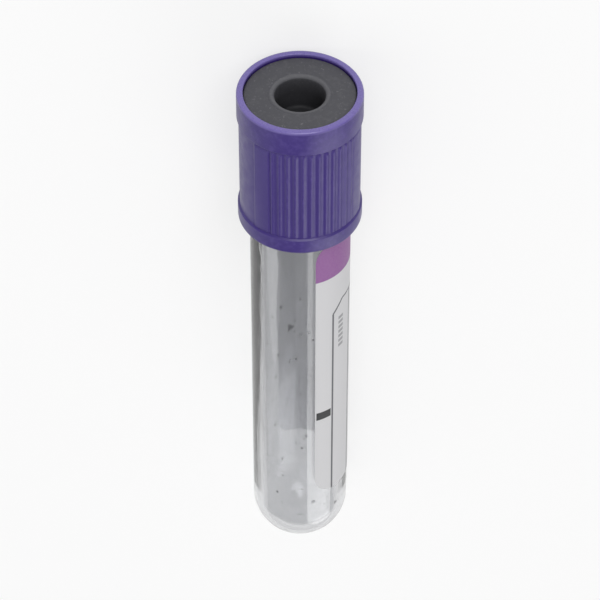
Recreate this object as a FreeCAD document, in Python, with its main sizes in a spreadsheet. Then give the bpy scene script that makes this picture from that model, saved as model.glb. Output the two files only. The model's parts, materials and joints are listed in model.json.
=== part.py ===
import FreeCAD, Part
import math
import os

import Sketcher

# Capped vacuum blood collection tube, millimetres.
#
# Every piece is drawn standing on its own Z axis, with the pole of the tube's round bottom at the origin,
# and is then laid down with the others: the tube rests on its round bottom and on the ring at the cap's
# lower edge, so its axis rises a little towards the cap.  The origin is under the middle of the tube,
# on the surface that it lies on, +X points to the cap.

DIMENSIONS = [
    # tube, one clear moulding
    ("tube_length", 75.0, "pole of the round bottom to the mouth"),
    ("tube_radius", 6.5, "outside of the wall and of the round bottom"),
    ("tube_wall", 1.0, "wall at the mouth"),
    ("bore_draft", 0.2, "radius that the bore loses from the plug's seat to the bottom"),
    ("mouth_round", 0.3, "rounding of both edges of the mouth"),
    # stopper, one rubber moulding
    ("plug_length", 10.0, "plug below the mouth"),
    ("plug_clearance", 0.02, "radial, plug in the bore"),
    ("plug_lead", 1.4, "length of the tapered end of the plug"),
    ("lead_drop", 0.5, "radius that the tapered end loses"),
    ("seal_band", 2.2, "each sealing band of the plug"),
    ("relief_width", 1.6, "groove between the sealing bands"),
    ("relief_depth", 0.25, "depth of that groove"),
    ("flange_overhang", 0.65, "flange past the outside of the tube"),
    ("flange_height", 4.5, "flange above the mouth"),
    ("flange_round", 0.3, "upper edge of the flange"),
    ("recess_radius", 3.2, "needle recess in the top"),
    ("recess_depth", 4.85, "needle recess in the top"),
    ("recess_round", 0.4, "rounding of the recess, at its edge and its floor"),
    ("septum", 3.0, "rubber that the needle goes through"),
    ("hollow_radius", 2.8, "hollow in the underside of the plug"),
    # cap, one plastic moulding
    ("skirt_length", 15.5, "cap below the mouth"),
    ("skirt_clearance", 0.2, "radial, skirt round the tube"),
    ("pocket_clearance", 0.05, "radial, pocket round the flange"),
    ("pocket_wall", 0.8, "wall of the cap round the pocket"),
    ("lip_height", 0.5, "lip above the flange"),
    ("lip_overhang", 0.1, "lip over the flange"),
    ("rim_round", 0.35, "outer edge of the top"),
    ("lip_round", 0.15, "inner edge of the top"),
    ("skirt_round", 0.4, "outer edge of the bottom"),
    ("skirt_chamfer", 0.3, "inner edge of the bottom"),
    ("ring_height", 2.2, "plain ring at the bottom"),
    ("band_height", 3.7, "plain band at the top"),
    ("grip_recess", 0.25, "depth of the grip between ring and band"),
    ("grip_slope", 0.2, "height of the sloping step into the grip"),
    ("rib_count", 12.0, "ribs on each of the two opposite sides"),
    ("rib_pitch", 7.35, "degrees from rib to rib"),
    ("rib_radius", 0.3, "round back of a rib"),
    ("rib_inset", 0.04, "back of a rib below the ring"),
    ("panel_angle", 59.0, "degrees, plain panel in the middle of each smooth side"),
    ("margin_angle", 17.0, "degrees, raised margin each side of a panel"),
    ("margin_rise", 0.14, "margin above the panel"),
    ("cap_turn", 14.0, "degrees, the cap's ribbed sides turned from straight down"),
    # label, one die-cut sticker
    ("label_thickness", 0.08, "paper and glue"),
    ("label_foot", 12.0, "lower edge of the label above the pole"),
    ("label_gap", 0.5, "bare tube between the cap and the label"),
    ("label_wrap", 200.0, "degrees round the tube"),
    ("label_turn", -162.0, "degrees, first edge of the label from straight down"),
    ("label_corner", 3.0, "corner radius"),
]


class Size:
    """A dimension as the text of an expression, with its value in millimetres or degrees."""

    def __init__(self, text, value):
        self.text = text
        self.value = value

    def joined(self, sign, other, value):
        return Size(f"({self.text} {sign} {other.text})", value)

    def __add__(self, other):
        other = as_size(other)
        return self.joined("+", other, self.value + other.value)

    def __sub__(self, other):
        other = as_size(other)
        return self.joined("-", other, self.value - other.value)

    def __mul__(self, other):
        other = as_size(other)
        return self.joined("*", other, self.value * other.value)

    def __truediv__(self, other):
        other = as_size(other)
        return self.joined("/", other, self.value / other.value)


def as_size(number):
    return number if isinstance(number, Size) else Size(str(number), float(number))


doc = FreeCAD.newDocument("blood_collection_tube")
sheet = doc.addObject("Spreadsheet::Sheet", "sizes")
SIZES = {}
for row, (alias, number, meaning) in enumerate(DIMENSIONS, start=1):
    sheet.set(f"A{row}", alias)
    sheet.set(f"B{row}", str(number))
    sheet.set(f"C{row}", meaning)
    sheet.setAlias(f"B{row}", alias)
    SIZES[alias] = Size(f"sizes.{alias}", number)
doc.recompute()

ZERO = as_size(0)


def size(alias):
    return SIZES[alias]


def bind(thing, prop, value):
    """Ties a property of a feature or a sketch to the sheet."""
    thing.setExpression(prop, value.text)


# ---------------------------------------------------------------- sketches


def sketch_on(body, name, role):
    """An empty sketch on one of the body's own origin planes."""
    sketch = body.newObject("Sketcher::SketchObject", name)
    plane = next(item for item in body.Origin.OriginFeatures if item.Role == role)
    sketch.AttachmentSupport = [(plane, "")]
    sketch.MapMode = "FlatFace"
    return sketch


def fix_coordinate(sketch, kind, element, end, value):
    """Holds one coordinate of a point: on the sketch's axis where it is 0, else at a bound distance."""
    if value is ZERO:
        axis = -2 if kind == "DistanceX" else -1
        sketch.addConstraint(Sketcher.Constraint("PointOnObject", element, end, axis))
        return
    number = sketch.addConstraint(
        Sketcher.Constraint(kind, -1, 1, element, end, value.value)
    )
    bind(sketch, f"Constraints[{number}]", value)


def fix_point(sketch, element, end, across, up):
    fix_coordinate(sketch, "DistanceX", element, end, across)
    fix_coordinate(sketch, "DistanceY", element, end, up)


def angle_of(centre, point):
    return math.atan2(point[1].value - centre[1].value, point[0].value - centre[0].value)


def add_quarter(sketch, centre, start, finish, turn):
    """A quarter circle from start to finish; returns the element and its first and last ends."""
    radius = math.hypot(
        start[0].value - centre[0].value, start[1].value - centre[1].value
    )
    circle = Part.Circle(
        FreeCAD.Vector(centre[0].value, centre[1].value, 0),
        FreeCAD.Vector(0, 0, 1),
        radius,
    )
    first, last = angle_of(centre, start), angle_of(centre, finish)
    if turn == "left":
        arc = Part.ArcOfCircle(circle, first, last)
        return sketch.addGeometry(arc), 1, 2
    arc = Part.ArcOfCircle(circle, last, first)
    return sketch.addGeometry(arc), 2, 1


def outline(sketch, start, steps):
    """A closed outline.  A step is a point to run straight to, or a quarter circle given as its turn,
    its centre and its end."""
    here = start
    pieces = []
    for step in steps:
        if step[0] in ("left", "right"):
            turn, centre, finish = step
            element, first, last = add_quarter(sketch, centre, here, finish, turn)
            fix_point(sketch, element, 3, *centre)
            level = abs(finish[1].value - centre[1].value) < 1e-9
        else:
            finish = step
            line = Part.LineSegment(
                FreeCAD.Vector(here[0].value, here[1].value, 0),
                FreeCAD.Vector(finish[0].value, finish[1].value, 0),
            )
            element, first, last = sketch.addGeometry(line), 1, 2
            level = None
        if pieces:
            before, _, before_last, _, _ = pieces[-1]
            sketch.addConstraint(
                Sketcher.Constraint("Coincident", before, before_last, element, first)
            )
        pieces.append((element, first, last, finish, level))
        here = finish
    closing, _, closing_end, _, _ = pieces[-1]
    opening, opening_end, _, _, _ = pieces[0]
    sketch.addConstraint(
        Sketcher.Constraint("Coincident", closing, closing_end, opening, opening_end)
    )
    for element, _, last, finish, level in pieces:
        # the end of a quarter circle already lies on it, so one coordinate is enough
        if level is not True:
            fix_coordinate(sketch, "DistanceX", element, last, finish[0])
        if level is not False:
            fix_coordinate(sketch, "DistanceY", element, last, finish[1])


def new_body(name):
    body = doc.addObject("PartDesign::Body", name)
    body.Label = name
    return body


def turned(body, name, start, steps, degrees=None):
    """Turns an outline of radius and height round the body's own Z axis."""
    sketch = sketch_on(body, f"{name}_outline", "XZ_Plane")
    outline(sketch, start, steps)
    doc.recompute()
    feature = body.newObject("PartDesign::Revolution", name)
    feature.Profile = sketch
    feature.ReferenceAxis = (sketch, ["V_Axis"])
    feature.Angle = 360.0
    if degrees is not None:
        bind(feature, "Angle", degrees)
    doc.recompute()
    return feature


# ---------------------------------------------------------------- shared places

LENGTH = size("tube_length")
RADIUS = size("tube_radius")
BORE = RADIUS - size("tube_wall")
BORE_LOW = BORE - size("bore_draft")
PLUG = BORE - size("plug_clearance")
PLUG_END = LENGTH - size("plug_length")
FLANGE = RADIUS + size("flange_overhang")
FLANGE_TOP = LENGTH + size("flange_height")
POCKET = FLANGE + size("pocket_clearance")
CAP_RADIUS = POCKET + size("pocket_wall")
CAP_TOP = FLANGE_TOP + size("lip_height")
SKIRT_BORE = RADIUS + size("skirt_clearance")
SKIRT_END = LENGTH - size("skirt_length")
RING_TOP = SKIRT_END + size("ring_height")
BAND_END = CAP_TOP - size("band_height")
GRIP_RADIUS = CAP_RADIUS - size("grip_recess")
LABEL_TOP = SKIRT_END - size("label_gap")
LABEL_END = size("label_foot")


# ---------------------------------------------------------------- tube


def build_tube_body():
    body = new_body("tube_body")
    edge = size("mouth_round")
    turned(
        body,
        "tube_wall_turned",
        (ZERO, ZERO),
        [
            ("left", (ZERO, RADIUS), (RADIUS, RADIUS)),
            (RADIUS, LENGTH - edge),
            ("left", (RADIUS - edge, LENGTH - edge), (RADIUS - edge, LENGTH)),
            (BORE + edge, LENGTH),
            ("left", (BORE + edge, LENGTH - edge), (BORE, LENGTH - edge)),
            (BORE, PLUG_END),
            (BORE_LOW, RADIUS),
            ("right", (ZERO, RADIUS), (ZERO, RADIUS - BORE_LOW)),
            (ZERO, ZERO),
        ],
    )
    return body


# ---------------------------------------------------------------- stopper


def build_stopper():
    body = new_body("stopper")
    recess = size("recess_radius")
    hollow = size("hollow_radius")
    bend = size("recess_round")
    edge = size("flange_round")
    floor = FLANGE_TOP - size("recess_depth")
    ceiling = floor - size("septum")
    relief = size("relief_depth")
    band_one = PLUG_END + size("plug_lead")
    groove = band_one + size("seal_band")
    groove_end = groove + size("relief_width")
    band_two = groove_end + size("seal_band")
    neck = PLUG - relief
    turned(
        body,
        "stopper_turned",
        (ZERO, ceiling),
        [
            (hollow, ceiling),
            (hollow, PLUG_END),
            (PLUG - size("lead_drop"), PLUG_END),
            (PLUG, band_one),
            (PLUG, groove),
            (neck, groove + relief),
            (neck, groove_end - relief),
            (PLUG, groove_end),
            (PLUG, band_two),
            (neck, band_two + relief),
            (neck, LENGTH),
            (FLANGE, LENGTH),
            (FLANGE, FLANGE_TOP - edge),
            ("left", (FLANGE - edge, FLANGE_TOP - edge), (FLANGE - edge, FLANGE_TOP)),
            (recess + bend, FLANGE_TOP),
            ("left", (recess + bend, FLANGE_TOP - bend), (recess, FLANGE_TOP - bend)),
            (recess, floor + bend),
            ("right", (recess - bend, floor + bend), (recess - bend, floor)),
            (ZERO, floor),
            (ZERO, ceiling),
        ],
    )
    return body


# ---------------------------------------------------------------- cap


def sector(sketch, inner, outer, first, last):
    """A piece of a ring between two angles in degrees, closed by two lines that point at the axis."""
    corners = []
    arcs = []
    for radius in (inner, outer):
        circle = Part.Circle(FreeCAD.Vector(), FreeCAD.Vector(0, 0, 1), radius.value)
        arc = Part.ArcOfCircle(
            circle, math.radians(first.value), math.radians(last.value)
        )
        element = sketch.addGeometry(arc)
        sketch.addConstraint(Sketcher.Constraint("Coincident", element, 3, -1, 1))
        number = sketch.addConstraint(
            Sketcher.Constraint("Radius", element, radius.value)
        )
        bind(sketch, f"Constraints[{number}]", radius)
        arcs.append(element)
        corners.append((arc.StartPoint, arc.EndPoint))
    for end, angle in ((1, first), (2, last)):
        near, far = corners[0][end - 1], corners[1][end - 1]
        line = sketch.addGeometry(Part.LineSegment(near, far))
        sketch.addConstraint(Sketcher.Constraint("Coincident", line, 1, arcs[0], end))
        sketch.addConstraint(Sketcher.Constraint("Coincident", line, 2, arcs[1], end))
        sketch.addConstraint(Sketcher.Constraint("PointOnObject", -1, 1, line))
        number = sketch.addConstraint(
            Sketcher.Constraint("Angle", -1, 1, line, 1, math.radians(angle.value))
        )
        bind(sketch, f"Constraints[{number}]", angle)


def grip_sketch(body, name):
    """A section across the cap, drawn where the grip's features start inside the plain ring."""
    sketch = sketch_on(body, name, "XY_Plane")
    bind(sketch, "AttachmentOffset.Base.z", RING_TOP - size("grip_slope"))
    return sketch


def grip_pad(body, name, sketch):
    """Raises a section from inside the ring to inside the band."""
    doc.recompute()
    pad = body.newObject("PartDesign::Pad", name)
    pad.Profile = sketch
    bind(pad, "Length", BAND_END - RING_TOP + size("grip_slope") * 2)
    body.Tip = pad
    doc.recompute()
    return pad


def first_rib(sketch, radius, centre, half_fan, side):
    """The round section of the first rib of one ribbed side: +1 is the side on +X, -1 the opposite one."""
    start = math.radians(half_fan.value)
    across = Size(f"{centre.text} * cos({half_fan.text} * 1deg)", centre.value * math.cos(start))
    down = Size(f"{centre.text} * sin({half_fan.text} * 1deg)", centre.value * math.sin(start))
    spot = FreeCAD.Vector(across.value, -down.value, 0) * side
    circle = Part.Circle(spot, FreeCAD.Vector(0, 0, 1), radius.value)
    element = sketch.addGeometry(circle)
    origin, middle = (-1, 1), (element, 3)
    for kind, value, ends in (
        ("DistanceX", across, origin + middle if side > 0 else middle + origin),
        ("DistanceY", down, middle + origin if side > 0 else origin + middle),
    ):
        number = sketch.addConstraint(Sketcher.Constraint(kind, *ends, value.value))
        bind(sketch, f"Constraints[{number}]", value)
    number = sketch.addConstraint(Sketcher.Constraint("Radius", element, radius.value))
    bind(sketch, f"Constraints[{number}]", radius)


def add_ribs(body):
    sketch = grip_sketch(body, "rib_section")
    radius = size("rib_radius")
    centre = CAP_RADIUS - size("rib_inset") - radius
    half_fan = size("rib_pitch") * (size("rib_count") - 1) / 2
    for side in (1, -1):
        first_rib(sketch, radius, centre, half_fan, side)
    first_pair = grip_pad(body, "first_ribs", sketch)
    fan = body.newObject("PartDesign::PolarPattern", "rib_fan")
    fan.Originals = [first_pair]
    fan.Axis = (sketch, ["N_Axis"])
    bind(fan, "Angle", half_fan * 2)
    bind(fan, "Occurrences", size("rib_count"))
    body.Tip = fan
    doc.recompute()


def add_margins(body):
    """Two raised margins on each smooth side, with the plain panel between them."""
    sketch = grip_sketch(body, "margin_section")
    inner = GRIP_RADIUS - size("margin_rise")
    outer = GRIP_RADIUS + size("margin_rise")
    half_panel = size("panel_angle") / 2
    margin = size("margin_angle")
    for middle in (as_size(90), as_size(-90)):
        sector(sketch, inner, outer, middle + half_panel, middle + half_panel + margin)
        sector(sketch, inner, outer, middle - half_panel - margin, middle - half_panel)
    grip_pad(body, "margins", sketch)


def build_cap():
    body = new_body("cap")
    slope = size("grip_slope")
    rim = size("rim_round")
    lip = FLANGE - size("lip_overhang")
    lip_edge = size("lip_round")
    low = size("skirt_round")
    lead = size("skirt_chamfer")
    turned(
        body,
        "cap_shell",
        (SKIRT_BORE + lead, SKIRT_END),
        [
            (CAP_RADIUS - low, SKIRT_END),
            ("left", (CAP_RADIUS - low, SKIRT_END + low), (CAP_RADIUS, SKIRT_END + low)),
            (CAP_RADIUS, RING_TOP),
            (GRIP_RADIUS, RING_TOP + slope),
            (GRIP_RADIUS, BAND_END - slope),
            (CAP_RADIUS, BAND_END),
            (CAP_RADIUS, CAP_TOP - rim),
            ("left", (CAP_RADIUS - rim, CAP_TOP - rim), (CAP_RADIUS - rim, CAP_TOP)),
            (lip + lip_edge, CAP_TOP),
            ("left", (lip + lip_edge, CAP_TOP - lip_edge), (lip, CAP_TOP - lip_edge)),
            (lip, FLANGE_TOP),
            (POCKET, FLANGE_TOP),
            (POCKET, LENGTH),
            (SKIRT_BORE, LENGTH),
            (SKIRT_BORE, SKIRT_END + lead),
            (SKIRT_BORE + lead, SKIRT_END),
        ],
    )
    shell_volume = body.Shape.Volume
    add_ribs(body)
    ribbed_volume = body.Shape.Volume
    assert ribbed_volume > shell_volume, "the ribs add nothing"
    add_margins(body)
    assert body.Shape.Volume > ribbed_volume, "the margins add nothing"
    return body


# ---------------------------------------------------------------- label


def build_label():
    body = new_body("label")
    face = RADIUS + size("label_thickness")
    turned(
        body,
        "label_sheet",
        (RADIUS, LABEL_END),
        [
            (face, LABEL_END),
            (face, LABEL_TOP),
            (RADIUS, LABEL_TOP),
            (RADIUS, LABEL_END),
        ],
        size("label_wrap"),
    )
    corner = size("label_corner")
    low, high = LABEL_END + corner, LABEL_TOP - corner
    # each end of the sheet is seen face on along its own radius, where its two corners are cut round
    for name, turn, outwards in (
        ("first_corners", ZERO, True),
        ("last_corners", size("label_wrap") - 180, False),
    ):
        cut = sketch_on(body, f"{name}_outline", "YZ_Plane")
        cut.AttachmentOffset = FreeCAD.Placement(
            FreeCAD.Vector(), FreeCAD.Rotation(FreeCAD.Vector(0, 1, 0), turn.value)
        )
        bind(cut, "AttachmentOffset.Rotation.Angle", turn)
        outline(
            cut,
            (ZERO, LABEL_END),
            [
                (corner, LABEL_END),
                ("right", (corner, low), (ZERO, low)),
                (ZERO, LABEL_END),
            ],
        )
        outline(
            cut,
            (ZERO, high),
            [
                ("right", (corner, high), (corner, LABEL_TOP)),
                (ZERO, LABEL_TOP),
                (ZERO, high),
            ],
        )
        doc.recompute()
        before = body.Shape.Volume
        pocket = body.newObject("PartDesign::Pocket", name)
        pocket.Profile = cut
        pocket.Reversed = outwards
        bind(pocket, "Length", face)
        body.Tip = pocket
        doc.recompute()
        assert body.Shape.Volume < before, f"{name} cuts nothing"
    return body


# ---------------------------------------------------------------- lying down


def lean_angle():
    """Radians that the axis rises from the round bottom to the cap, when both touch the surface."""
    edge = size("skirt_round").value
    along = SKIRT_END.value + edge - RADIUS.value
    across = CAP_RADIUS.value - edge
    drop = RADIUS.value - edge
    return math.atan2(across, along) - math.asin(drop / math.hypot(along, across))


def lying(turn=0.0):
    """Where a piece lies, turned by some degrees about the tube's own axis first."""
    lean = lean_angle()
    rim = size("rim_round").value
    back = RADIUS.value * math.cos(lean) - RADIUS.value
    front = (CAP_TOP.value - rim) * math.cos(lean)
    front += (CAP_RADIUS.value - rim) * math.sin(lean) + rim
    height = RADIUS.value - RADIUS.value * math.sin(lean)
    down = FreeCAD.Rotation(FreeCAD.Vector(0, 1, 0), 90 - math.degrees(lean))
    about = FreeCAD.Rotation(FreeCAD.Vector(0, 0, 1), turn)
    return FreeCAD.Placement(
        FreeCAD.Vector(-(back + front) / 2, 0, height), down.multiply(about)
    )


pieces = [
    (build_tube_body(), 0.0),
    (build_stopper(), 0.0),
    (build_cap(), size("cap_turn").value),
    (build_label(), size("label_turn").value),
]
for piece, turn in pieces:
    piece.Placement = lying(turn)
doc.recompute()

for item in doc.Objects:
    for state in ("Invalid", "Error"):
        assert state not in item.State, f"{item.Name} is {item.State}"
for piece, turn in pieces:
    assert not piece.Shape.isNull() and piece.Shape.isValid(), piece.Label

os.makedirs("parts", exist_ok=True)
for piece, turn in pieces:
    piece.Shape.exportStep(f"parts/{piece.Label}.step")
    box = piece.Shape.BoundBox
    print(
        f"{piece.Label}: {len(piece.Shape.Solids)} solid, {piece.Shape.Volume:.1f} mm3,"
        f" x {box.XMin:.3f} {box.XMax:.3f} y {box.YMin:.3f} {box.YMax:.3f}"
        f" z {box.ZMin:.3f} {box.ZMax:.3f}"
    )
print(f"lean {math.degrees(lean_angle()):.4f} degrees, origin of the axis {lying().Base}")
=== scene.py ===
"""Looks of a capped vacuum blood collection tube.

Every piece is shaped standing on its own Z axis in millimetres, with the pole of the tube's round bottom
at the origin, and is then laid down where the frame says that the tube lies.  Angles round the tube start
straight down and turn towards +Y.
"""

import json
import math
import random

import bpy
from mathutils import Matrix, Vector


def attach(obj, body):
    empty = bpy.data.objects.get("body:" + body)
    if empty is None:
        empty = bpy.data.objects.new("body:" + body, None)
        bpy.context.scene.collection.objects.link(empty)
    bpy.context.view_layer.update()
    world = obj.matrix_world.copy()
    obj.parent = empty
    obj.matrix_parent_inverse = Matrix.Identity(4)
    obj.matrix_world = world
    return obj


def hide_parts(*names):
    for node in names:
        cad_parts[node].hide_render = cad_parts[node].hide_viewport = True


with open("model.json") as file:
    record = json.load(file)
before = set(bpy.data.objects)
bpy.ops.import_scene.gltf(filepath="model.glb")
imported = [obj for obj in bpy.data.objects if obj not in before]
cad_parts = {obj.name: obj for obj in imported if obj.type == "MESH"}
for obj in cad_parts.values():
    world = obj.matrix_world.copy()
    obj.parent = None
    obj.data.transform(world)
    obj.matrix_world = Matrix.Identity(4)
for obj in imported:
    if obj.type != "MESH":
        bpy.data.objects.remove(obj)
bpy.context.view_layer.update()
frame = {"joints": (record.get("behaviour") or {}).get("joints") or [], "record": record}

# ---------------------------------------------------------------- sizes, millimetres and degrees

# tube, with heights above the pole of its round bottom
TUBE_RADIUS = 6.5
TUBE_LENGTH = 75.0
BORE = 5.5
BORE_LOW = 5.3
BOTTOM_WALL = 1.2
TUBE_STEPS = 192

# stopper, a flange over a plug with two sealing bands
FLANGE = 7.15
FLANGE_TOP = TUBE_LENGTH + 4.5
PLUG = 5.48
PLUG_NECK = 5.23
PLUG_END = TUBE_LENGTH - 10.0
PLUG_BAND = 2.2
BAND_SLOPE = 0.25
LOWER_BAND = PLUG_END + 1.4
UPPER_BAND = PLUG_END + 5.2
RECESS = 3.2
RECESS_FLOOR = FLANGE_TOP - 4.85
RECESS_MIDDLE = (RECESS_FLOOR + FLANGE_TOP) / 2
LIP_RISE = 0.08
HOLLOW = 2.8
HOLLOW_CEILING = RECESS_FLOOR - 3.0
STOPPER_STEPS = 160

# cap, a ring, a ribbed grip and a plain band, with its points in columns round it
CAP_RADIUS = 8.0
CAP_TOP = TUBE_LENGTH + 5.0
GRIP_RADIUS = 7.75
SKIRT_END = TUBE_LENGTH - 15.5
SKIRT_BORE = 6.7
SKIRT_MOUTH = 7.0
RING_TOP = SKIRT_END + 2.2
BAND_END = CAP_TOP - 3.7
CAP_TURN = 14.0
COLUMNS = 392
COLUMNS_PER_RIB = 8
RIBS_PER_SIDE = 12
RIB_RADII = (7.96, 7.933, 7.824)  # at the middle of a rib, and one and two columns beside it
MARGIN_COLUMNS = range(32, 51)  # from the middle of a smooth panel
MARGIN_RISE = 0.14

# label, with its print read at a radius inside the paper
LABEL_TOP = SKIRT_END - 0.5
LABEL_END = 12.0
LABEL_WRAP = 200.0
LABEL_START = -162.0
LABEL_INSIDE = 6.51
LABEL_CORNER = 3.0
LABEL_CUTS = 72
PAPER = 0.07
PRINT_RADIUS = 6.55

# dried additive, drops of 0.2 to 0.6 mm across that stand a little way into the wall
DROPS = 110
DROP_SEED = 20
SMALLEST_DROP = 0.2
DROP_SPREAD = 0.4
LOWEST_DROP = 7.5
SPRAYED_HEIGHT = 38
DROP_SUNK = 0.02

# ---------------------------------------------------------------- where the tube lies

MILLIMETRE = 0.001
recess_mount = next(m for m in frame["record"]["mounts"] if m["name"] == "needle_recess")
AXIS = Vector(frame["joints"][0]["axis"]).normalized()
POLE = Vector(recess_mount["pos_m"]) - AXIS * (RECESS_MIDDLE * MILLIMETRE)
ACROSS = Vector((0, 1, 0))
DOWN = ACROSS.cross(AXIS)
LYING_TURN = Matrix((DOWN, ACROSS, AXIS)).transposed()
LYING = Matrix.Translation(POLE) @ LYING_TURN.to_4x4() @ Matrix.Scale(MILLIMETRE, 4)


# ---------------------------------------------------------------- shaping


def rounded(corners):
    """A profile's points, from corners given as radius, height and the rounding of that corner."""
    points = []
    for number, (radius, height, bend) in enumerate(corners):
        here = Vector((radius, height))
        if not bend:
            points.append(here)
            continue
        back = (Vector(corners[number - 1][:2]) - here).normalized()
        ahead = (Vector(corners[(number + 1) % len(corners)][:2]) - here).normalized()
        half = back.angle(ahead) / 2
        centre = here + (back + ahead).normalized() * bend / math.sin(half)
        first = (here + back * bend / math.tan(half) - centre).normalized()
        last = (here + ahead * bend / math.tan(half) - centre).normalized()
        steps = 4 + round(4 * bend)
        points += [centre + first.slerp(last, step / steps) * bend for step in range(steps + 1)]
    return points


def choose(piece):
    """Makes a piece the only one that is selected."""
    bpy.ops.object.select_all(action="DESELECT")
    bpy.context.view_layer.objects.active = piece
    piece.select_set(True)


def edit(piece):
    """Opens a piece's mesh for editing, point by point."""
    choose(piece)
    bpy.ops.object.mode_set(mode="EDIT")
    bpy.ops.mesh.select_mode(type="VERT")


def edit_all(piece):
    """Opens a piece's mesh for editing with all of it selected."""
    edit(piece)
    bpy.ops.mesh.select_all(action="SELECT")


def pick(piece, wanted):
    """Opens a mesh with the points selected for which wanted(radius, angle, height) is true."""
    bpy.ops.object.mode_set(mode="OBJECT")
    for group in (piece.data.polygons, piece.data.edges):
        for part in group:
            part.select = False
    for vertex in piece.data.vertices:
        x, y, z = vertex.co
        vertex.select = wanted(math.hypot(x, y), math.degrees(math.atan2(y, x)), z)
    edit(piece)


def turn_selected(degrees, axis="Z"):
    """Turns what is selected about an axis through the pole."""
    bpy.ops.transform.rotate(value=math.radians(degrees), orient_axis=axis, center_override=(0, 0, 0))


def swell(share):
    """Moves what is selected away from the Z axis, by a share of its distance from it."""
    bpy.ops.transform.resize(value=(1 + share, 1 + share, 1), center_override=(0, 0, 0))


def new_sheet(name):
    """A square of 1 mm, open for editing, with all of it selected."""
    bpy.ops.object.select_all(action="DESELECT")
    bpy.ops.mesh.primitive_plane_add(size=1)
    piece = bpy.context.object
    piece.name = piece.data.name = name
    edit_all(piece)
    return piece


def turned(name, profile, steps, start=0.0):
    """A profile of radius and height turned once round the Z axis."""
    piece = new_sheet(name)
    bpy.ops.mesh.merge(type="CENTER")
    bpy.ops.transform.translate(value=(profile[0].x, 0, profile[0].y))
    for here, ahead in zip(profile, profile[1:]):
        step = ahead - here
        bpy.ops.mesh.extrude_vertices_move(TRANSFORM_OT_translate={"value": (step.x, 0, step.y)})
    bpy.ops.mesh.select_all(action="SELECT")
    turn_selected(-start)
    bpy.ops.mesh.spin(steps=steps, angle=math.tau, center=(0, 0, 0), axis=(0, 0, 1))
    bpy.ops.mesh.select_all(action="SELECT")
    bpy.ops.mesh.remove_doubles(threshold=0.0005)
    bpy.ops.mesh.normals_make_consistent(inside=False)
    bpy.ops.object.mode_set(mode="OBJECT")
    return piece


def lay_down(piece, sharp=35):
    """Smooths a finished piece, lays it where the tube lies and leaves its object at the origin."""
    choose(piece)
    bpy.ops.object.shade_smooth_by_angle(angle=math.radians(sharp))
    piece.matrix_world = LYING
    bpy.ops.object.transform_apply(location=True, rotation=True, scale=True)
    piece.select_set(False)


# ---------------------------------------------------------------- tube


def shape_tube():
    """A wall that closes in a round bottom, with the moulding's gate mark at its pole."""
    gate = [Vector((0, 0.12)), Vector((0.5, 0.12)), Vector((0.62, 0.1)), Vector((0.72, 0.05))]
    turns = [math.radians(turn) for turn in range(8, 91, 2)]
    bottom = [Vector((math.sin(turn), 1 - math.cos(turn))) * TUBE_RADIUS for turn in turns]
    wall = rounded(
        [
            (TUBE_RADIUS, TUBE_RADIUS + 0.5, 0),
            (TUBE_RADIUS, TUBE_LENGTH, 0.3),
            (BORE, TUBE_LENGTH, 0.3),
            (BORE, PLUG_END, 0),
            (BORE_LOW, TUBE_RADIUS, 0),
            (BORE_LOW, BOTTOM_WALL, BORE_LOW),
            (0.0, BOTTOM_WALL, 0),
        ]
    )
    return turned("clear_tube", gate + bottom + wall, TUBE_STEPS)


# ---------------------------------------------------------------- stopper


def shape_stopper():
    """A flange with a recess for the needle, over a hollow plug with two sealing bands."""
    profile = rounded(
        [
            (0.0, HOLLOW_CEILING, 0),
            (HOLLOW, HOLLOW_CEILING, 0.5),
            (HOLLOW, PLUG_END, 0.3),
            (PLUG - 0.5, PLUG_END, 0.4),
            (PLUG, LOWER_BAND, 0.5),
            (PLUG, LOWER_BAND + PLUG_BAND, 0.15),
            (PLUG_NECK, LOWER_BAND + PLUG_BAND + BAND_SLOPE, 0.15),
            (PLUG_NECK, UPPER_BAND - BAND_SLOPE, 0.15),
            (PLUG, UPPER_BAND, 0.15),
            (PLUG, UPPER_BAND + PLUG_BAND, 0.15),
            (PLUG_NECK, UPPER_BAND + PLUG_BAND + BAND_SLOPE, 0.15),
            (PLUG_NECK, TUBE_LENGTH, 0.1),
            (FLANGE, TUBE_LENGTH, 0.15),
            (FLANGE, FLANGE_TOP, 0.3),
            (RECESS + 0.85, FLANGE_TOP, 0.2),
            (RECESS + 0.65, FLANGE_TOP + LIP_RISE, 0.2),
            (RECESS, FLANGE_TOP + LIP_RISE, 0.5),
            (RECESS, RECESS_FLOOR, 0.4),
            (0.0, RECESS_FLOOR, 0),
        ]
    )
    return turned("rubber_stopper", profile, STOPPER_STEPS)


# ---------------------------------------------------------------- cap


def column(angle):
    """The column of the cap's points that is at an angle round it."""
    return round((angle - CAP_TURN) * COLUMNS / 360) % COLUMNS


def rib_columns(offset):
    """The columns of the cap that are this far from the middle of a rib, on both ribbed sides."""
    first = -COLUMNS_PER_RIB * (RIBS_PER_SIDE - 1) // 2
    middles = [first + COLUMNS_PER_RIB * rib for rib in range(RIBS_PER_SIDE)]
    beside = (-offset, offset, COLUMNS // 2 - offset, COLUMNS // 2 + offset)
    return {(middle + step) % COLUMNS for middle in middles for step in beside}


def margin_columns():
    """The columns of the cap in the raised margins, one each side of both smooth panels."""
    panels = (COLUMNS // 4, 3 * COLUMNS // 4)
    return {middle + sign * offset for middle in panels for sign in (-1, 1) for offset in MARGIN_COLUMNS}


def raise_grip(piece, height, columns, rise):
    """Lifts the grip's surface at one height, in some columns of the cap."""

    def wanted(radius, angle, level):
        return radius > GRIP_RADIUS - 0.05 and abs(level - height) < 0.01 and column(angle) in columns

    pick(piece, wanted)
    swell(rise / GRIP_RADIUS)


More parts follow.
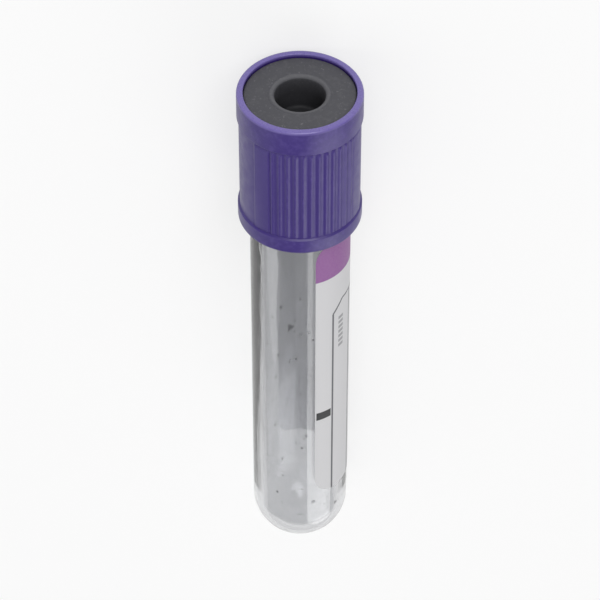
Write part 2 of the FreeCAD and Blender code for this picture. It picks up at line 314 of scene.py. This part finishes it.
def shape_cap():
    """A skirt with a ring at its foot, a grip with ribs and margins, and a plain band round the stopper."""
    grip_rows = (
        (RING_TOP + 0.32, 0.3),
        (RING_TOP + 0.45, 0.8),
        (RING_TOP + 0.65, 1.0),
        (BAND_END - 0.75, 1.0),
        (BAND_END - 0.5, 0.8),
        (BAND_END - 0.34, 0.3),
    )
    pocket = FLANGE + 0.05
    profile = rounded(
        [
            (SKIRT_MOUTH, SKIRT_END, 0.08),
            (CAP_RADIUS, SKIRT_END, 0.4),
            (CAP_RADIUS, RING_TOP, 0.1),
            (GRIP_RADIUS, RING_TOP + 0.2, 0.08),
            *[(GRIP_RADIUS, height, 0) for height, share in grip_rows],
            (GRIP_RADIUS, BAND_END - 0.2, 0.08),
            (CAP_RADIUS, BAND_END, 0.1),
            (CAP_RADIUS, CAP_TOP, 0.35),
            (FLANGE, CAP_TOP, 0.15),
            (FLANGE, FLANGE_TOP, 0.05),
            (pocket, FLANGE_TOP, 0),
            (pocket, TUBE_LENGTH, 0),
            (SKIRT_BORE, TUBE_LENGTH, 0),
            (SKIRT_BORE, SKIRT_END + 0.3, 0.08),
        ]
    )
    piece = turned("ribbed_cap", profile + profile[:1], COLUMNS, start=CAP_TURN)
    for height, share in grip_rows:
        for offset, radius in enumerate(RIB_RADII):
            raise_grip(piece, height, rib_columns(offset), share * (radius - GRIP_RADIUS))
        raise_grip(piece, height, margin_columns(), share * MARGIN_RISE)
    bpy.ops.object.mode_set(mode="OBJECT")
    return piece


# ---------------------------------------------------------------- label


def shape_label():
    """A sheet with round corners, cut into strips, bent round the tube and given the paper's thickness."""
    width = math.radians(LABEL_WRAP) * LABEL_INSIDE
    piece = new_sheet("paper_label")
    bpy.ops.transform.resize(value=(width, LABEL_TOP - LABEL_END, 1))
    bpy.ops.mesh.bevel(offset=LABEL_CORNER, segments=12, affect="VERTICES")
    turn_selected(90, axis="X")
    for cut in range(1, LABEL_CUTS):
        bpy.ops.mesh.select_all(action="SELECT")
        bpy.ops.mesh.bisect(plane_co=(width * (cut / LABEL_CUTS - 0.5), 0, 0), plane_no=(1, 0, 0))
    bpy.ops.mesh.select_all(action="SELECT")
    bpy.ops.mesh.flip_normals()
    bpy.ops.object.mode_set(mode="OBJECT")
    bend = piece.modifiers.new("bend", "SIMPLE_DEFORM")
    bend.deform_method = "BEND"
    bend.deform_axis = "Z"
    bend.angle = math.radians(LABEL_WRAP)
    bpy.ops.object.modifier_apply(modifier="bend")
    edit_all(piece)
    bpy.ops.transform.translate(value=(0, -LABEL_INSIDE, (LABEL_TOP + LABEL_END) / 2))
    turn_selected(-(LABEL_START + LABEL_WRAP / 2 + 90))
    bpy.ops.object.mode_set(mode="OBJECT")
    paper = piece.modifiers.new("paper", "SOLIDIFY")
    paper.thickness = PAPER
    paper.offset = 1
    bpy.ops.object.modifier_apply(modifier="paper")
    return piece


# ---------------------------------------------------------------- dried additive


def shape_drop():
    """One dried drop of 1 mm across, standing on the XY plane."""
    bpy.ops.object.select_all(action="DESELECT")
    bpy.ops.mesh.primitive_ico_sphere_add(subdivisions=2, radius=0.5)
    piece = bpy.context.object
    edit_all(piece)
    bpy.ops.transform.resize(value=(1, 1, 0.55))
    bpy.ops.mesh.bisect(plane_co=(0, 0, 0.02), plane_no=(0, 0, 1), clear_inner=True, use_fill=True)
    bpy.ops.object.mode_set(mode="OBJECT")
    return piece


def spray_drops():
    """Dried drops on the bore, thickest in the tube's lower half and mostly small."""
    drop = shape_drop()
    chance = random.Random(DROP_SEED)
    drops = []
    for _ in range(DROPS):
        size = SMALLEST_DROP + DROP_SPREAD * chance.random() ** 2
        height = LOWEST_DROP + SPRAYED_HEIGHT * chance.random() ** 1.3
        turn = math.tau * chance.random()
        wall = BORE_LOW + (BORE - BORE_LOW) * (height - TUBE_RADIUS) / (PLUG_END - TUBE_RADIUS)
        copy = drop.copy()
        copy.data = drop.data.copy()
        bpy.context.scene.collection.objects.link(copy)
        inwards = Vector((-math.cos(turn), -math.sin(turn), 0))
        along = Vector((0, 0, 1))
        upright = Matrix((along.cross(inwards), along, inwards)).transposed().to_4x4()
        stretch = Matrix.Diagonal((size, size * chance.uniform(0.9, 1.5), size * 0.8, 1))
        foot = Vector((0, 0, height)) - inwards * (wall + DROP_SUNK)
        copy.matrix_world = Matrix.Translation(foot) @ upright @ stretch
        drops.append(copy)
    bpy.data.objects.remove(drop)
    bpy.ops.object.select_all(action="DESELECT")
    for one in drops:
        one.select_set(True)
    bpy.context.view_layer.objects.active = drops[0]
    bpy.ops.object.transform_apply(location=True, rotation=True, scale=True)
    bpy.ops.object.join()
    drops[0].name = drops[0].data.name = "dried_additive"
    return drops[0]


# ---------------------------------------------------------------- materials


class Signal:
    """A value in a material.  Arithmetic on it adds Math nodes: | keeps the larger value, & the smaller."""

    def __init__(self, finish, socket):
        self.finish = finish
        self.socket = socket

    def __add__(self, other):
        return self.finish.maths("ADD", self, other)

    __radd__ = __add__

    def __sub__(self, other):
        return self.finish.maths("SUBTRACT", self, other)

    def __rsub__(self, other):
        return self.finish.maths("SUBTRACT", other, self)

    def __mul__(self, other):
        return self.finish.maths("MULTIPLY", self, other)

    __rmul__ = __mul__

    def __truediv__(self, other):
        return self.finish.maths("DIVIDE", self, other)

    def __rtruediv__(self, other):
        return self.finish.maths("DIVIDE", other, self)

    def __gt__(self, other):
        return self.finish.maths("GREATER_THAN", self, other)

    def __lt__(self, other):
        return self.finish.maths("LESS_THAN", self, other)

    def __abs__(self):
        return self.finish.maths("ABSOLUTE", self)

    def __or__(self, other):
        return self.finish.maths("MAXIMUM", self, other)

    __ror__ = __or__

    def __and__(self, other):
        return self.finish.maths("MINIMUM", self, other)

    __rand__ = __and__


class Finish:
    """The nodes of a material or of the world, with patterns in the standing tube's millimetres."""

    def __init__(self, owner):
        owner.use_nodes = True
        self.owner = owner
        self.tree = owner.node_tree
        self.tree.nodes.clear()

    def add(self, kind, settings=None, values=None, output=0):
        """Adds a node, with its settings set first, and gives one of its outputs."""
        node = self.tree.nodes.new(kind)
        for name, setting in (settings or {}).items():
            setattr(node, name, setting)
        for name, value in (values or {}).items():
            if isinstance(value, Signal):
                self.tree.links.new(value.socket, node.inputs[name])
            else:
                node.inputs[name].default_value = value
        return Signal(self, node.outputs[output]) if node.outputs else None

    def maths(self, operation, *values):
        """Adds a Math node on one or two values."""
        return self.add("ShaderNodeMath", {"operation": operation}, dict(enumerate(values)))

    def place(self):
        """Where a point is on the standing tube."""
        here = self.add("ShaderNodeTexCoord", output="Object")
        turn = LYING_TURN.to_euler()
        scale = (MILLIMETRE, MILLIMETRE, MILLIMETRE)
        values = {"Vector": here, "Location": POLE, "Rotation": turn, "Scale": scale}
        return self.add("ShaderNodeMapping", {"vector_type": "TEXTURE"}, values)

    def parts(self, place):
        """The two coordinates across the tube and the height along it."""
        return [self.add("ShaderNodeSeparateXYZ", values={0: place}, output=axis) for axis in range(3)]

    def stretched(self, place, x, y, z):
        """A place whose patterns are drawn out along an axis by a scale under 1."""
        return self.add("ShaderNodeMapping", values={"Vector": place, "Scale": (x, y, z)})

    def noise(self, place, scale, detail, roughness=0.5):
        values = {"Vector": place, "Scale": scale, "Detail": detail, "Roughness": roughness}
        return self.add("ShaderNodeTexNoise", values=values)

    def ranged(self, value, low, high, to_low=0.0, to_high=1.0):
        """Takes the stretch from low to high to the one from to_low to to_high."""
        return self.add("ShaderNodeMapRange", values={"Value": value, 1: low, 2: high, 3: to_low, 4: to_high})

    def colour(self, mask, below, above):
        """One colour where the mask is 0 and another where it is 1."""
        return self.add("ShaderNodeMix", {"data_type": "RGBA"}, {0: mask, 6: below, 7: above}, 2)

    def bump(self, height, distance, strength=1.0):
        values = {"Height": height, "Distance": distance, "Strength": strength}
        return self.add("ShaderNodeBump", values=values)

    def ray(self, kind):
        return self.add("ShaderNodeLightPath", output=f"Is {kind} Ray")

    def surface(self, **values):
        inputs = {name.replace("_", " "): value for name, value in values.items()}
        return self.add("ShaderNodeBsdfPrincipled", values=inputs)

    def finished(self, shader, output="ShaderNodeOutputMaterial"):
        """Closes the tree with its output and gives the material or the world."""
        self.add(output, values={"Surface": shader})
        return self.owner


def new_finish(name):
    return Finish(bpy.data.materials.new(name))


def grey(level):
    return (level, level, level, 1)


def clear_pet():
    """Clear plastic with faint haze and flow lines along the tube.  Lamps shine through it."""
    pet = new_finish("clear_pet")
    place = pet.place()
    flow = pet.noise(pet.stretched(place, 1, 1, 0.12), 0.7, 3.0)
    haze = pet.noise(place, 0.35, 4.0)
    shader = pet.surface(
        Base_Color=pet.colour(haze, (0.67, 0.675, 0.69, 1), (0.725, 0.73, 0.74, 1)),
        Roughness=pet.ranged(haze, 0.35, 0.7, 0.02, 0.09),
        IOR=1.57,
        Transmission_Weight=1.0,
        Normal=pet.bump(flow, 0.00002),
    )
    passing = pet.add("ShaderNodeBsdfTransparent", values={"Color": grey(0.96)})
    mixed = pet.add("ShaderNodeMixShader", values={0: pet.ray("Shadow"), 1: shader, 2: passing})
    return pet.finished(mixed)


def purple_plastic():
    """Satin moulded plastic, with a painted highlight that makes its rim paler, and paler where hands rub the
    ring, the ribs and the band.
    """
    plastic = new_finish("purple_plastic")
    place = plastic.place()
    across, along, height = plastic.parts(place)
    radius = plastic.maths("SQRT", across * across + along * along)
    cloud = plastic.noise(place, 0.25, 3.0)
    patches = plastic.ranged(plastic.noise(place, 1.6, 4.0), 0.45, 0.7)
    rubbed = plastic.ranged(radius, CAP_RADIUS - 0.14, CAP_RADIUS - 0.02) * patches
    # painted highlight: this mask pales the rim's top and also makes it a little glossier
    rim = plastic.ranged(height, CAP_TOP - 0.5, CAP_TOP - 0.1)
    purple = plastic.colour(cloud, (0.033, 0.0155, 0.152, 1), (0.042, 0.02, 0.18, 1))
    purple = plastic.colour(rubbed * 0.2, purple, (0.13, 0.09, 0.34, 1))
    # painted highlight on the rim, a pale purple mixed in over the plastic's own colour
    purple = plastic.colour(rim * 0.8, purple, (0.19, 0.15, 0.43, 1))
    gloss = plastic.ranged(plastic.noise(place, 0.8, 4.0), 0.3, 0.7, 0.33, 0.45) - rim * 0.12
    grain = plastic.noise(place, 9.0, 2.0, 0.6)
    shader = plastic.surface(
        Base_Color=purple,
        Roughness=gloss,
        IOR=1.51,
        Normal=plastic.bump(grain, 0.00002, 0.6),
    )
    return plastic.finished(shader)


def grey_rubber():
    """Matt rubber with pale dust, a painted highlight on the lip round the recess and painted shade inside
    the recess.
    """
    rubber = new_finish("grey_rubber")
    place = rubber.place()
    across, along, height = rubber.parts(place)
    reach = rubber.maths("SQRT", across * across + along * along)
    cloud = rubber.noise(place, 0.5, 4.0)
    blotch = rubber.ranged(rubber.noise(place, 1.5, 3.0, 0.6), 0.5, 0.75)
    dust = rubber.ranged(rubber.noise(place, 2.6, 3.0, 0.6), 0.63, 0.7)
    # painted highlight: a pale ring on the lip round the recess
    lip = rubber.ranged(abs(reach - (RECESS + 0.35)), 0.12, 0.35, 1.0, 0.0)
    # painted shade: the recess is darkened inside, more strongly deeper down
    inside = (reach < RECESS + 0.05) & (height > RECESS_FLOOR - 0.1)
    recess_shade_strength = rubber.ranged(height, FLANGE_TOP - 2.5, FLANGE_TOP, 0.9, 0.4)
    colour = rubber.colour(cloud, (0.054, 0.054, 0.064, 1), (0.074, 0.074, 0.084, 1))
    colour = rubber.colour(blotch * 0.35, colour, (0.12, 0.12, 0.128, 1))
    colour = rubber.colour(dust * 0.4, colour, (0.22, 0.22, 0.23, 1))
    colour = rubber.colour(lip * 0.5, colour, (0.13, 0.13, 0.14, 1))
    colour = rubber.colour(inside * recess_shade_strength, colour, (0.012, 0.012, 0.015, 1))
    grain = rubber.noise(place, 14.0, 3.0, 0.65)
    shader = rubber.surface(
        Base_Color=colour,
        Roughness=rubber.ranged(cloud, 0.3, 0.7, 0.62, 0.8),
        IOR=1.52,
        Normal=rubber.bump(grain, 0.00004, 0.7),
    )
    return rubber.finished(shader)


def label_paper():
    """White paper with a purple band, frame lines, a fill mark, an arrow and dashes in place of words.

    The print is laid out in millimetres right and down from the label's upper left corner.
    """
    paper = new_finish("label_paper")
    place = paper.place()
    across, along, height = paper.parts(place)
    turn = paper.maths("ARCTAN2", along, across)
    right = (turn + math.radians(-LABEL_START)) * PRINT_RADIUS
    down = LABEL_TOP - height
    outside = (across * across + along * along) > PRINT_RADIUS**2

    def field(left, right_end, top, bottom):
        return (right > left) & (right < right_end) & (down > top) & (down < bottom)

    def upright_line(left, top):
        return field(left - line, left + line, top, beyond)

    line, beyond = 0.15, 60
    left_edge, right_edge, frame_top, cut = 2.68, 18.6, 11.5, 1.8
    columns = (6.66, 10.64, 14.62)
    caption_top, caption_end, caption_width = 14.3, 20.2, 1.0
    caption_step, caption_dash = 0.85, 0.62  # from dash to dash, and a dash's share of that
    heading_step, heading_dash = 1.3, 0.66
    lines = field(left_edge + cut, right_edge, frame_top - line, frame_top + line)
    slant = abs((right - left_edge) + (down - (frame_top + cut))) < line * 1.5
    lines = lines | (slant & field(2.6, 4.6, 11.4, 13.4))
    lines = lines | upright_line(left_edge, frame_top + cut)
    for edge in (*columns, right_edge):
        lines = lines | upright_line(edge, frame_top)
    captions = field(3.7, 3.7 + caption_width, caption_top, caption_end)
    for edge in columns:
        start = edge + 1.3
        captions = captions | field(start, start + caption_width, caption_top, caption_end)
    heading = field(7.7, 19.2, 7.6, 8.4) | field(9.0, 17.9, 9.4, 10.2)
    dashes = captions & (paper.maths("FRACT", down / caption_step) < caption_dash)
    dashes = dashes | (heading & (paper.maths("FRACT", right / heading_step) < heading_dash))
    band = field(-1, 25, -1, 6.45)
    mark = field(0.18, 2.4, 30.9, 32.3)
    arrow = (abs(down - 27.0) < (right - 19.4) * 0.5) & field(19.4, 20.9, 25, 29)

    fibres = paper.noise(place, 5.0, 5.0, 0.7)
    ink = paper.ranged(fibres, 0.3, 0.7, 0.9, 1.0)
    front = paper.colour(fibres, (0.54, 0.538, 0.55, 1), (0.60, 0.597, 0.61, 1))
    front = paper.colour(band * ink, front, (0.235, 0.075, 0.265, 1))
    front = paper.colour(lines * 0.9, front, (0.07, 0.07, 0.08, 1))
    front = paper.colour(dashes * 0.6, front, (0.12, 0.12, 0.13, 1))
    front = paper.colour((mark | arrow) * 0.97, front, (0.012, 0.012, 0.014, 1))
    # painted light: the inner face gets a much paler paper colour than the front, for the light that reaches
    # it through the tube; the print showing through is laid over it
    back = paper.colour(fibres, (0.78, 0.78, 0.80, 1), (0.84, 0.84, 0.86, 1))
    back = paper.colour((lines | mark) * 0.12, back, (0.3, 0.3, 0.32, 1))
    back = paper.colour(arrow * 0.85, back, (0.12, 0.12, 0.13, 1))
    back = paper.colour(band * 0.2, back, (0.4, 0.28, 0.42, 1))
    shader = paper.surface(
        Base_Color=paper.colour(outside, back, front),
        Roughness=paper.ranged(fibres, 0.3, 0.7, 0.42, 0.55),
        Specular_IOR_Level=0.3,
        Normal=paper.bump(fibres, 0.00002, 0.5),
    )
    return paper.finished(shader)


def dried_additive():
    """A grey crust that is partly clear."""
    crust = new_finish("dried_additive")
    place = crust.place()
    cloud = crust.noise(place, 3.0, 3.0)
    shader = crust.surface(
        Base_Color=crust.colour(cloud, (0.10, 0.10, 0.11, 1), (0.22, 0.22, 0.23, 1)),
        Roughness=crust.ranged(cloud, 0.3, 0.7, 0.35, 0.6),
        Alpha=crust.ranged(cloud, 0.35, 0.65, 0.25, 0.6),
        Normal=crust.bump(cloud, 0.00003, 0.5),
    )
    return crust.finished(shader)


# ---------------------------------------------------------------- pieces in their places

tube = shape_tube()
lay_down(tube)
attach(tube, "tube")
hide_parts("tube_body")
tube.data.materials.append(clear_pet())

additive = spray_drops()
lay_down(additive)
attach(additive, "tube")
additive.data.materials.append(dried_additive())

stopper = shape_stopper()
lay_down(stopper)
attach(stopper, "closure")
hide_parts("stopper")
stopper.data.materials.append(grey_rubber())

cap = shape_cap()
lay_down(cap, sharp=48)
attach(cap, "closure")
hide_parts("cap")
cap.data.materials.append(purple_plastic())

label = shape_label()
lay_down(label)
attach(label, "tube")
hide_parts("label")
label.data.materials.append(label_paper())

# ---------------------------------------------------------------- floor, world, lamps and camera


def pale_floor():
    """A matt floor that takes the tube's shadow near it and fades to white further out."""
    bpy.ops.object.select_all(action="DESELECT")
    bpy.ops.mesh.primitive_plane_add(size=4)
    floor = bpy.context.object
    floor.name = "floor"
    card = new_finish("pale_floor")
    seen = card.ray("Camera") | card.ray("Glossy") | card.ray("Transmission")
    here = card.add("ShaderNodeTexCoord", output="Object")
    reach = card.add("ShaderNodeVectorMath", {"operation": "LENGTH"}, {0: here}, "Value")
    fade = card.ranged(reach, 0.4, 1.6, 0.65, 1.0)
    matt = card.add("ShaderNodeBsdfDiffuse", values={"Color": grey(0.86)})
    white = card.add("ShaderNodeEmission", values={"Color": grey(1.0), "Strength": 1.0})
    mixed = card.add("ShaderNodeMixShader", values={0: seen * fade, 1: matt, 2: white})
    floor.data.materials.append(card.finished(mixed))


def studio_world():
    """Grey light from all round, from a room that looks white."""
    world = bpy.data.worlds.new("studio")
    bpy.context.scene.world = world
    room = Finish(world)
    light = room.add("ShaderNodeBackground", values={"Color": grey(0.36)})
    white = room.add("ShaderNodeBackground", values={"Color": grey(1.0)})
    seen = room.ray("Camera") | room.ray("Transmission")
    mixed = room.add("ShaderNodeMixShader", values={0: seen, 1: light, 2: white})
    room.finished(mixed, "ShaderNodeOutputWorld")


def soft_lamp(name, place, size, watts):
    """A round lamp at a place in metres, which shines at the tube's middle."""
    lamp = bpy.data.lights.new(name, "AREA")
    lamp.shape = "DISK"
    lamp.size = size
    lamp.energy = watts
    holder = bpy.data.objects.new(name, lamp)
    bpy.context.scene.collection.objects.link(holder)
    holder.location = place
    holder.rotation_euler = (-Vector(place)).to_track_quat("-Z", "Y").to_euler()


def look_at_tube():
    """A camera over the cap's end, which looks down at the cap's top and along the tube."""
    lens = bpy.data.cameras.new("camera")
    lens.lens = 190
    lens.sensor_width = 36
    lens.clip_start = 0.01
    camera = bpy.data.objects.new("camera", lens)
    bpy.context.scene.collection.objects.link(camera)
    lift = math.radians(44.5)
    aim, away = 0.0435, 0.42
    back = -DOWN * math.cos(lift) + AXIS * math.sin(lift)
    right = -ACROSS
    up = back.cross(right)
    view = Matrix((right, up, back)).transposed().to_4x4()
    camera.matrix_world = Matrix.Translation(POLE + AXIS * aim + back * away) @ view
    bpy.context.scene.camera = camera


pale_floor()
studio_world()
soft_lamp("key", (0.66, -0.12, 0.62), 0.7, 4.8)
soft_lamp("side", (-0.46, -0.42, 0.36), 0.65, 1.8)
soft_lamp("overhead", (-0.05, 0.25, 0.7), 0.6, 0.9)
soft_lamp("fill", (-0.2, 0.6, 0.32), 0.7, 0.8)
look_at_tube()
bpy.context.scene.view_settings.view_transform = "Standard"
